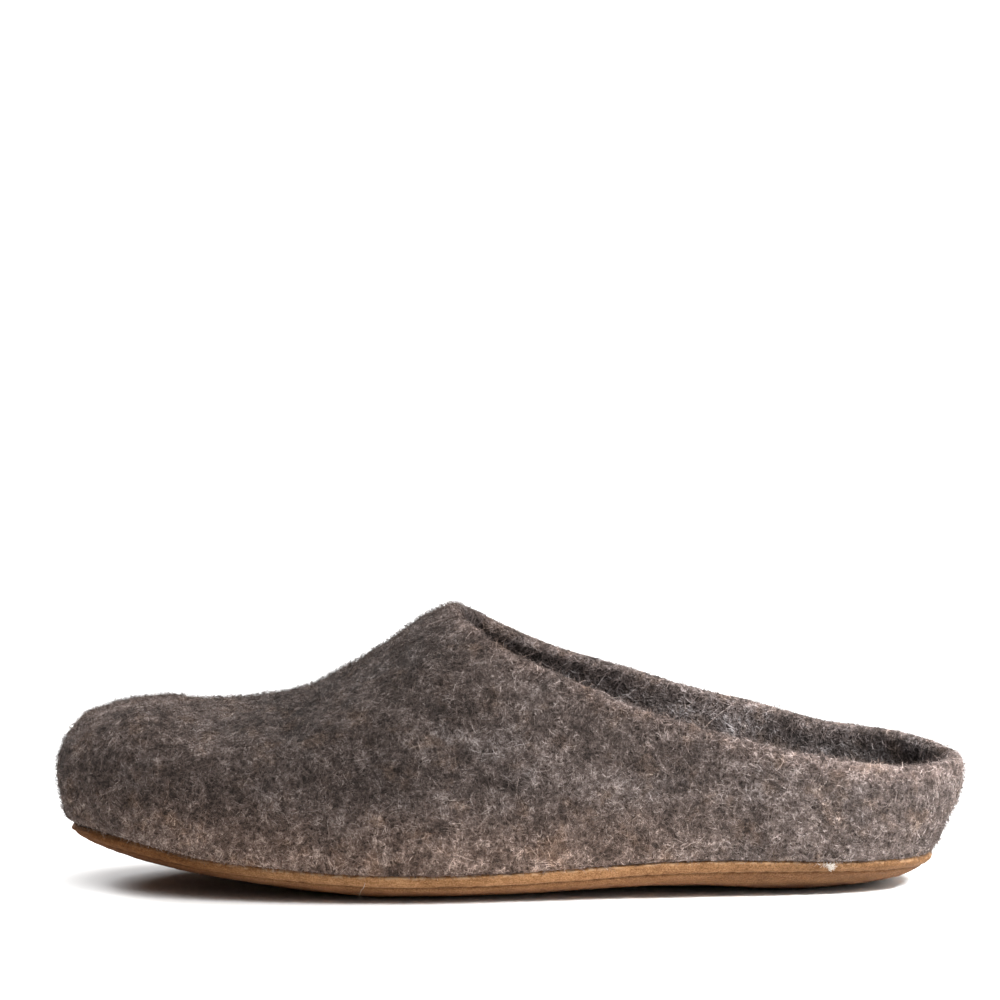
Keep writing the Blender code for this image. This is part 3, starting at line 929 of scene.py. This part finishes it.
class Finish:
    """Nodes that are built one by one round one shader, a material's or the room's."""

    def __init__(self, holder, shader):
        holder.use_nodes = True
        self.tree = holder.node_tree
        self.shader = self.tree.nodes[shader]

    def node(self, kind, settings, sockets, output=0):
        """Adds a node: its settings first, with a ramp's stops among them, then the values or links of its
        sockets. Gives back a reading of one of its outputs."""
        node = self.tree.nodes.new(kind)
        for setting, value in settings.items():
            if setting == "stops":
                set_stops(node.color_ramp, value)
            else:
                setattr(node, setting, value)
        for socket, value in sockets.items():
            self.plug(node.inputs[socket], value)
        return Reading(self, node.outputs[output])

    def plug(self, socket, value):
        """Links a reading to a socket, or sets the socket to a plain value."""
        if isinstance(value, Reading):
            self.tree.links.new(value.socket, socket)
        else:
            socket.default_value = value

    def set(self, **sockets):
        """Values or links of the shader's own sockets, named with _ for a space."""
        for name, value in sockets.items():
            self.plug(self.shader.inputs[name.replace("_", " ")], value)

    def place(self):
        """Place on the shoe, in metres."""
        return self.node("ShaderNodeTexCoord", {}, {}, "Object")

    def part_of(self, vector, axis):
        """X, Y or Z of a vector."""
        return self.node("ShaderNodeSeparateXYZ", {}, {0: vector}, axis)

    def field(self, name):
        """A field of the piece's points, as its skin gives it."""
        return self.node("ShaderNodeAttribute", {"attribute_name": name}, {}, "Fac")

    def noise(self, place, size, detail=2.0, roughness=0.5, distortion=0.0):
        """Noise from 0 to 1 whose blotches are about as wide as size."""
        sockets = {"Vector": place, "Scale": 1 / size, "Detail": detail}
        sockets.update({"Roughness": roughness, "Distortion": distortion})
        return self.node("ShaderNodeTexNoise", {"noise_dimensions": "3D"}, sockets, "Fac")

    def turned(self, place, angles, stretch=(1, 1, 1)):
        """A place for a pattern that is turned by angles and drawn out by stretch."""
        sockets = {"Vector": place, "Rotation": angles, "Scale": stretch}
        return self.node("ShaderNodeMapping", {"vector_type": "TEXTURE"}, sockets)

    def step(self, value, low, high):
        """0 at low and 1 at high, with a smooth step between."""
        sockets = {"Value": value, "From Min": low, "From Max": high}
        return self.node("ShaderNodeMapRange", {"interpolation_type": "SMOOTHSTEP"}, sockets)

    def ramp(self, value, stops):
        """A colour that runs from stop to stop as the value grows."""
        return self.node("ShaderNodeValToRGB", {"stops": stops}, {"Fac": value}, "Color")

    def mix(self, share, first, second, blend="MIX"):
        """A colour with a share of another over it."""
        settings = {"data_type": "RGBA", "blend_type": blend}
        return self.node("ShaderNodeMix", settings, {0: share, 6: first, 7: second}, 2)

    def tinted(self, share, first, tint):
        """A colour, of which a share is multiplied by a tint."""
        return self.mix(share, first, tint, "MULTIPLY")

    def bump(self, height, distance):
        """Bump from a height from 0 to 1, which stands for the given distance."""
        return self.node("ShaderNodeBump", {}, {"Height": height, "Distance": distance}, "Normal")


def set_stops(ramp, stops):
    """Sets a colour ramp's stops, each a place and a colour."""
    while len(ramp.elements) < len(stops):
        ramp.elements.new(1.0)
    for element, (place, shade) in zip(ramp.elements, stops):
        element.position = place
        element.color = shade


def colour(red, green, blue):
    """An opaque colour."""
    return (red, green, blue, 1.0)


def grey(level):
    """A neutral colour, for a tint that only lightens or darkens."""
    return colour(level, level, level)


def new_material(name):
    """A material and the finish that wires it."""
    material = bpy.data.materials.new(name)
    return material, Finish(material, "Principled BSDF")


# Wool from the darkest fibre to the palest, then the tints that lie over it
WOOL = [
    (0.0, colour(0.0228, 0.0166, 0.0139)),
    (0.30, colour(0.0725, 0.0528, 0.0457)),
    (0.62, colour(0.1325, 0.0998, 0.0884)),
    (0.85, colour(0.238, 0.1895, 0.173)),
    (1.0, colour(0.383, 0.320, 0.296)),
]
BROWN_TINT = colour(1.10, 1.0, 0.88)
COOL_TINT = colour(0.94, 0.98, 1.01)
INSIDE_TINT = colour(0.97, 1.04, 1.10)
# Painted bounce light from the floor, on the band over the leather
BOUNCE_LIGHT_TINT = colour(1.70, 1.55, 1.41)
# Painted shade on the vamp and the toe's front
VAMP_SHADE_TINT = grey(0.77)
# Painted shade inside at the throat and the heel
INSIDE_SHADE_TINT = grey(0.5)
# Painted light on the toe's top
TOE_TOP_LIGHT_TINT = grey(1.22)
RIM_TINT = colour(1.34, 1.30, 1.28)
PATCH_SHARE = 0.8  # of the brown and the cool patches


def wool_colour(finish, tone):
    """Wool of a given tone from 0 to 1, tinted one after another by patches of brown and of cool grey, by a
    warmer, paler band over the leather that is painted bounce light from the floor, by painted shade on the
    vamp and the toe's front and in the room inside at the throat and the heel, by painted light on the toe's
    top, by a paler collar rim, and by a cooler inside."""
    place = finish.place()
    brown = finish.step(finish.noise(place, 9 * MM, 3.0, 0.6), 0.52, 0.70)
    cool = finish.step(finish.noise(finish.turned(place, (0.6, 0.2, 1.1)), 15 * MM, 3.0, 0.6), 0.50, 0.68)
    tints = [
        (brown * PATCH_SHARE, BROWN_TINT),
        (cool * PATCH_SHARE, COOL_TINT),
        (finish.field("low"), BOUNCE_LIGHT_TINT),
        (finish.field("vamp"), VAMP_SHADE_TINT),
        (finish.field("throat"), INSIDE_SHADE_TINT),
        (finish.field("toe_top"), TOE_TOP_LIGHT_TINT),
        (finish.step(finish.field("rim"), 0.55, 1.0), RIM_TINT),
        (finish.field("inside"), INSIDE_TINT),
    ]
    wool = finish.ramp(tone, WOOL)
    for share, tint in tints:
        wool = finish.tinted(share, wool, tint)
    return wool


def felt_patches(finish):
    """Light and dark patches of the felt, around 0: broad clouds drawn out along the foot, tufts, clumps, and
    small dark pits between the fibres, which are painted shade."""
    place = finish.place()
    cloud = finish.noise(finish.turned(place, (0, 0.3, 0), (1.8, 1, 1)), 13 * MM)
    tuft = finish.noise(place, 4.0 * MM)
    clump = finish.noise(place, 1.4 * MM, 2.0, 0.55, 0.6)
    pore = finish.noise(finish.turned(place, (1.0, 0.4, 0.3)), 1.1 * MM, 1.0, 0.5, 0.4)
    # Painted shade in the small pits between the fibres
    pit_shade = finish.step(pore, 0.54, 0.68)
    return (cloud - 0.5) * 0.85 + (tuft - 0.5) * 1.25 + (clump - 0.5) * 1.15 - (pit_shade - 0.25) * 0.42


# Curls of the fibres that lie in the felt: their size, and the turn that sets each lot apart
WEB_CURLS = [
    (1.1 * MM, (0.3, 0.5, 0.2)),
    (1.5 * MM, (1.2, 0.4, 1.5)),
    (2.0 * MM, (0.7, 1.4, 2.4)),
    (2.7 * MM, (2.1, 0.9, 0.6)),
]


def felt_web(finish):
    """Web of curly fibres, from 0 to the number of lots that cross: each lot is thin lines where a noise
    passes through its middle value."""
    place = finish.place()
    lines = []
    for size, angles in WEB_CURLS:
        curl = finish.noise(finish.turned(place, angles), size, 1.0, 0.5, 0.3)
        lines.append(1 - finish.step(abs(curl - 0.5), 0.008, 0.05))
    return sum(lines)


def felt_finish():
    """Matted felt: patches and pits, with a web of paler fibres raised over them."""
    material, finish = new_material("felt")
    web = felt_web(finish)
    patches = felt_patches(finish)
    tone = patches * 0.9 + (web - 0.6) * 0.24 + 0.34
    finish.set(
        Base_Color=wool_colour(finish, tone),
        Roughness=0.95,
        Specular_IOR_Level=0.15,
        Normal=finish.bump(web * 0.4 + patches, 0.5 * MM),
    )
    return material


def fibre_finish():
    """Single wool fibres, each with its own tone, a little lighter or darker with the patch it lies in, and
    darker with the painted shade of the pits.
    """
    material, finish = new_material("wool_fibre")
    tone = finish.field("tone") + felt_patches(finish) * 0.8
    finish.set(Base_Color=wool_colour(finish, tone), Roughness=0.8, Specular_IOR_Level=0.25)
    return material


WHITE_WOOL = [(0.0, colour(0.36, 0.31, 0.26)), (1.0, colour(0.62, 0.58, 0.53))]


def fleck_finish():
    """White wool, a little darker in some fibres."""
    material, finish = new_material("white_wool")
    white = finish.ramp(finish.field("tone"), WHITE_WOOL)
    finish.set(Base_Color=white, Roughness=0.8, Specular_IOR_Level=0.25)
    return material


# Leather of the strip above the seam, then the tints and colours that lie over it
LEATHER_STRIP = [
    (0.39, colour(0.074, 0.033, 0.0123)),
    (0.5, colour(0.136, 0.067, 0.0287)),
    (0.61, colour(0.215, 0.116, 0.055)),
]
# Painted shade on the strip below the seam, where the leather turns under
LEATHER_LOW_SHADE_TINT = colour(0.80, 0.745, 0.74)
DUST_TINT = colour(1.86, 1.88, 1.92)
TOE_LEATHER_TINT = colour(0.84, 0.69, 0.52)
CUT_EDGE = colour(0.34, 0.21, 0.12)
# Painted shade in the seam's groove and its stitch holes
GROOVE_SHADE_COLOUR = colour(0.036, 0.014, 0.005)
SOLE_GRIME = colour(0.105, 0.066, 0.043)

# Where they begin and end: in metres along the foot, or in millimetres below the leather's edge
DUST_START = (-105 * MM, -60 * MM)
DUST_END = (10 * MM, 95 * MM)
TOE_LEATHER_END = (-105 * MM, -70 * MM)
LOW_STRIP = (3.0, 4.2)
PALE_EDGE = (0.05, 0.32)
UNDERSIDE = (24, 36)


def suede_finish():
    """Suede: fibrous streaks along the foot in a mottled nap, painted shade on the strip below the seam,
    paler dust along the middle of the foot and a browner toe, a pale cut edge in places, painted shade in the
    seam's groove that is darkest at the stitch holes, and grey grime on the flat spots underneath."""
    material, finish = new_material("suede_nap")
    place = finish.place()
    below = finish.field("below_edge")
    along = finish.part_of(place, "X")
    mottle = finish.noise(finish.turned(place, (0, 0, 0), (2.5, 1, 1)), 5 * MM, 3.0, 0.6)
    streak = finish.noise(finish.turned(place, (0, 0.1, 0), (7, 1, 1)), 0.5 * MM, 2.0, 0.6)
    grain = finish.noise(place, 0.6 * MM, 2.0, 0.6)
    speck = finish.noise(finish.turned(place, (0.5, 0.9, 0.3)), 0.35 * MM, 1.0)
    dusty = finish.step(along, *DUST_START) * (1 - finish.step(along, *DUST_END))
    toe = 1 - finish.step(along, *TOE_LEATHER_END)
    suede = finish.ramp(mottle * 0.2 + streak * 0.25 + grain * 0.25 + speck * 0.3, LEATHER_STRIP)
    # Painted shade on the strip below the seam
    suede = finish.tinted(finish.step(below, *LOW_STRIP), suede, LEATHER_LOW_SHADE_TINT)
    suede = finish.tinted(dusty, suede, DUST_TINT)
    suede = finish.tinted(toe, suede, TOE_LEATHER_TINT)
    rubbed = finish.step(finish.noise(place, 2.2 * MM, 3.0, 0.65), 0.46, 0.56)
    pale = (1 - finish.step(below, *PALE_EDGE)) * rubbed * (dusty * 0.45 + 0.45) * (1 - toe * 0.7)
    suede = finish.mix(pale, suede, CUT_EDGE)
    # Painted shade in the seam's groove and its stitch holes
    suede = finish.mix(finish.field("hole") * 0.95, suede, GROOVE_SHADE_COLOUR)
    scuff = finish.step(finish.noise(place, 14 * MM, 4.0, 0.65), 0.45, 0.7)
    suede = finish.mix(scuff * finish.step(below, *UNDERSIDE) * 0.7, suede, SOLE_GRIME)
    finish.set(
        Base_Color=suede,
        Roughness=0.88 + 0.1 * grain,
        Specular_IOR_Level=0.12,
        Normal=finish.bump(grain * 0.6 + streak * 0.4, 0.3 * MM),
    )
    return material


WAXED_THREAD = [(0.3, colour(0.062, 0.026, 0.010)), (0.7, colour(0.115, 0.052, 0.021))]


def thread_finish():
    """Waxed thread with a fine twist along it."""
    material, finish = new_material("seam_thread")
    twist = finish.noise(finish.place(), 0.5 * MM)
    finish.set(
        Base_Color=finish.ramp(twist, WAXED_THREAD),
        Roughness=0.8,
        Specular_IOR_Level=0.1,
        Normal=finish.bump(twist, 0.15 * MM),
    )
    return material


FLOOR_REACH = 4.0
FLOOR_HEIGHT = -0.2 * MM
FLOOR_COLOUR = grey(0.95)


def make_floor():
    """A plain white floor, just under the sole."""
    mesh = bpy.data.meshes.new("floor")
    signs = [(-1, -1), (1, -1), (1, 1), (-1, 1)]
    corners = [(x * FLOOR_REACH, y * FLOOR_REACH, FLOOR_HEIGHT) for x, y in signs]
    mesh.from_pydata(corners, [], [(0, 1, 2, 3)])
    add_object("floor", mesh)
    material, paper = new_material("white_paper")
    paper.set(Base_Color=FLOOR_COLOUR, Roughness=0.9, Specular_IOR_Level=0.0)
    mesh.materials.append(material)


# Brightness of the room on the heel's side, behind, overhead and where the camera sees it
ROOM_COLOUR = colour(1.0, 0.983, 0.967)
HEEL_SIDE_GLOW = 3.3
BACK_GLOW = 0.6
OVERHEAD_GLOW = 2.6
BACKDROP_GLOW = 1.2

LAMP_COLOUR = (0.945, 0.98, 1.0)
Lamp = namedtuple("Lamp", "name place aim energy size spread")
LAMPS = [
    Lamp("heel_lamp", (0.40, -0.30, 0.42), (0.13, 0.0, 0.03), 0.52, 0.20, 30),
    Lamp("toe_lamp", (-0.75, 0.80, 0.70), (-0.16, 0.0, 0.0), 12.5, 0.4, 180),
]


def point_at(pointed, place, aim):
    """Puts a lamp or the camera at a place, turned towards another, and gives back the distance."""
    towards = Vector(aim) - Vector(place)
    pointed.location = place
    pointed.rotation_mode = "QUATERNION"
    pointed.rotation_quaternion = towards.to_track_quat("-Z", "Y")
    return towards.length


def make_room():
    """A room that is bright overhead and on the heel's side, so that the floor stays white and the shadow
    dark and close to the sole."""
    world = bpy.data.worlds.new("bright_room")
    bpy.context.scene.world = world
    room = Finish(world, "Background")
    direction = room.node("ShaderNodeTexCoord", {}, {}, "Generated")
    heel_side = room.part_of(direction, "X").not_below(0.0)
    behind = room.part_of(direction, "Y").not_below(0.0)
    upward = room.part_of(direction, "Z")
    high = room.step(upward, 0.0, 0.5) * 0.9 + 0.1
    dome = (heel_side * HEEL_SIDE_GLOW + behind * BACK_GLOW) * high
    dome = dome + room.step(upward, 0.6, 0.95) * OVERHEAD_GLOW
    seen = room.node("ShaderNodeLightPath", {}, {}, "Is Camera Ray")
    room.set(Strength=dome * (1 - seen) + BACKDROP_GLOW * seen, Color=ROOM_COLOUR)
    bpy.context.scene.view_settings.view_transform = "Standard"


def make_lamps():
    """Soft square lamps, each shining within a cone of the given degrees: one over the outer side picks out
    the heel, and one behind the toe clears the floor in front of it."""
    for lamp in LAMPS:
        light = bpy.data.lights.new(lamp.name, "AREA")
        light.energy = lamp.energy
        light.size = lamp.size
        light.spread = math.radians(lamp.spread)
        light.color = LAMP_COLOUR
        point_at(add_object(lamp.name, light), lamp.place, lamp.aim)


def make_camera():
    """The photograph's viewpoint: square to the outer side, from a little above."""
    camera = bpy.data.cameras.new("camera")
    viewpoint = add_object("camera", camera)
    distance = point_at(viewpoint, CAMERA_PLACE, CAMERA_AIM)
    camera.lens = camera.sensor_width * distance / FRAME_WIDTH
    camera.clip_start, camera.clip_end = 0.05, 50.0
    bpy.context.scene.camera = viewpoint


def main():
    """Makes the stage, then the three main pieces, the seam's thread and the fibres on them."""
    make_camera()
    make_floor()
    make_room()
    make_lamps()
    felt, fibre, suede, white = felt_finish(), fibre_finish(), suede_finish(), fleck_finish()
    form = Form()
    upper, insole, sole = upper_skin(form), insole_skin(form), sole_skin(form)
    make_from_skin("felt_upper", upper, felt, "upper")
    make_from_skin("felt_insole", insole, felt, "insole")
    make_from_skin("leather_sole", sole, suede, "sole")
    seam_thread(form, thread_finish())
    wall_end = MARGIN_RINGS + WALL_RINGS - 1
    ring = np.arange(upper.rings)[:, None]
    outside = ((ring >= MARGIN_RINGS) & (ring < wall_end + RIM_RINGS)) * np.ones(AROUND)
    inside = (ring >= wall_end) * (upper.points[..., 2] > INSIDE_NAP_LOWEST)
    bed_ring = np.arange(insole.rings)[:, None] - (insole.rings - BED_RINGS)
    bed = (bed_ring >= BED_BARE_RINGS) * np.ones(AROUND)
    hairy = outside * (1 + RIM_HAIRS * upper.fields["rim"])
    below = sole.fields["below_edge"]
    frayed = (below > 0) * fade(below, EDGE_FRAY_REACH)
    make_nap("outside_nap_long", upper, outside, LONG_NAP, fibre)
    make_nap("outside_nap_short", upper, outside, SHORT_NAP, fibre)
    make_nap("outside_fuzz", upper, outside, FUZZ, fibre)
    make_nap("inside_nap", upper, inside, INSIDE_NAP, fibre)
    make_nap("insole_nap", insole, bed, INSOLE_NAP, fibre)
    make_nap("loose_hair", upper, hairy, LOOSE_HAIR, fibre)
    make_nap("edge_fray", sole, frayed, EDGE_FRAY, suede)
    make_nap("white_fleck", sole, fleck_density(sole), FLECK, white)
    stray_hair(sole, white)


main()
